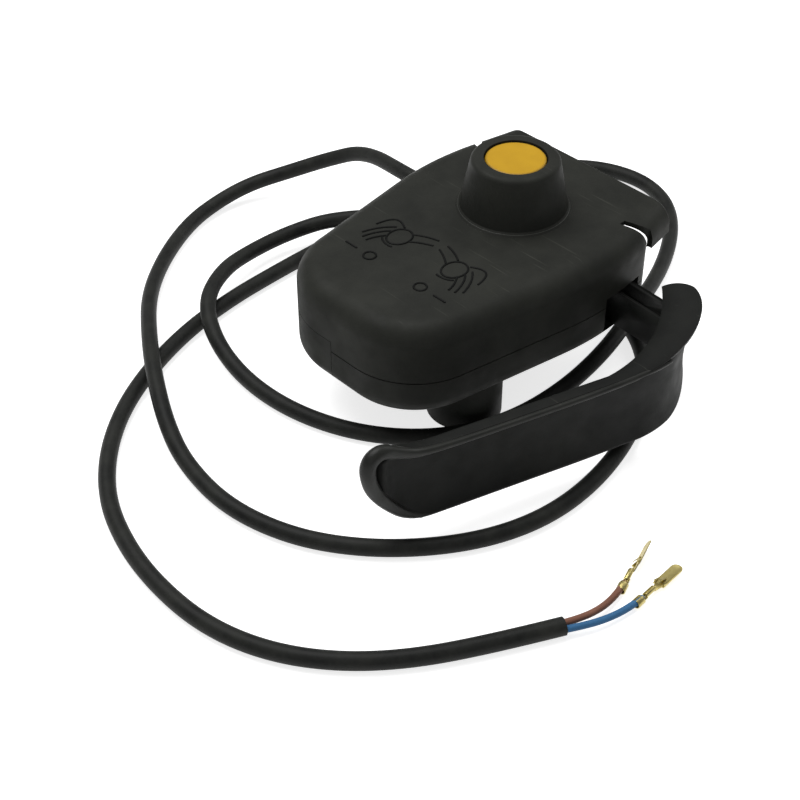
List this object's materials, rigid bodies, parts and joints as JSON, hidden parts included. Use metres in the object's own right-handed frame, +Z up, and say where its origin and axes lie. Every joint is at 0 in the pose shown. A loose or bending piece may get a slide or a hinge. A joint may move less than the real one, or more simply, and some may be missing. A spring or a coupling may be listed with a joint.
{
  "type": "dead man switch",
  "caption": "Hand-held dead man switch: moulded case with a bowed squeeze lever, a yellow push button in a conical collar and a coiled two-core cable with crimped ends.",
  "frame": {"origin": "mouth of the rear fixing insert, on the base plane under the button's axis", "axes": "+X from the nose to the rear, +Y away from the lever, +Z up along the button's axis"},
  "size_m": [0.3421, 0.31, 0.087],
  "materials": {
    "case_black": "moulded black nylon, fine eroded texture",
    "button_yellow": "moulded yellow plastic",
    "lever_black": "moulded black nylon, satin",
    "steel": "zinc plated steel",
    "spring_steel": "drawn spring wire",
    "brass": "turned or stamped brass",
    "switch_plastic": "moulded switch case",
    "plunger_red": "moulded plunger",
    "bracket_grey": "moulded bracket",
    "cable_black": "extruded rubber sheath",
    "grommet_black": "moulded rubber",
    "core_brown": "extruded brown insulation",
    "core_blue": "extruded blue insulation"
  },
  "bodies": {
    "case": {"lower_shell": "case_black", "upper_shell": "case_black", "nose_plug": "case_black", "case_screws": "steel", "threaded_inserts": "brass", "pivot_pin": "steel", "lever_switch_body": "switch_plastic", "lever_switch_terminals": "brass", "lever_switch_screws": "steel", "button_switch_body": "switch_plastic", "button_switch_terminals": "brass", "button_switch_screws": "steel", "switch_bracket": "bracket_grey", "bracket_screws": "steel", "button_spring": "spring_steel", "lever_spring": "spring_steel", "cable_grommet": "grommet_black", "cable_clamp": "bracket_grey", "clamp_screws": "steel", "cable": "cable_black", "core_brown": "core_brown", "core_blue": "core_blue", "terminal_brown": "brass", "terminal_blue": "brass"},
    "lever_body": {"lever": "lever_black", "pivot_bushes": "brass"},
    "button": {"button_cap": "button_yellow", "button_stem": "button_yellow", "button_clip": "spring_steel"},
    "lever_plunger": {"lever_switch_plunger": "plunger_red"},
    "button_plunger": {"button_switch_plunger": "plunger_red"}
  },
  "joints": [
    {"name": "lever_pivot", "type": "hinge", "parent": "case", "child": "lever_body", "pos_m": [0.015, -0.026, 0.035], "axis": [0, 0, -1], "range_deg": [0, 14], "stiffness_Nm_per_rad": 0.8, "springref_deg": -20.05, "deforming": ["lever_spring"]},
    {"name": "button_press", "type": "slide", "parent": "case", "child": "button", "axis": [0, 0, -1], "range_m": [0, 0.004], "stiffness_N_per_m": 900, "springref_m": -0.003, "deforming": ["button_spring"]},
    {"name": "lever_switch_press", "type": "slide", "parent": "case", "child": "lever_plunger", "axis": [0, 1, 0], "range_m": [0, 0.0024]},
    {"name": "button_switch_press", "type": "slide", "parent": "case", "child": "button_plunger", "axis": [0, 0, -1], "range_m": [0, 0.004]}
  ],
  "couplings": [
    {"joint": "lever_switch_press", "follows": "lever_pivot", "m_per_rad": 0.009413},
    {"joint": "button_switch_press", "follows": "button_press", "ratio": 1}
  ]
}
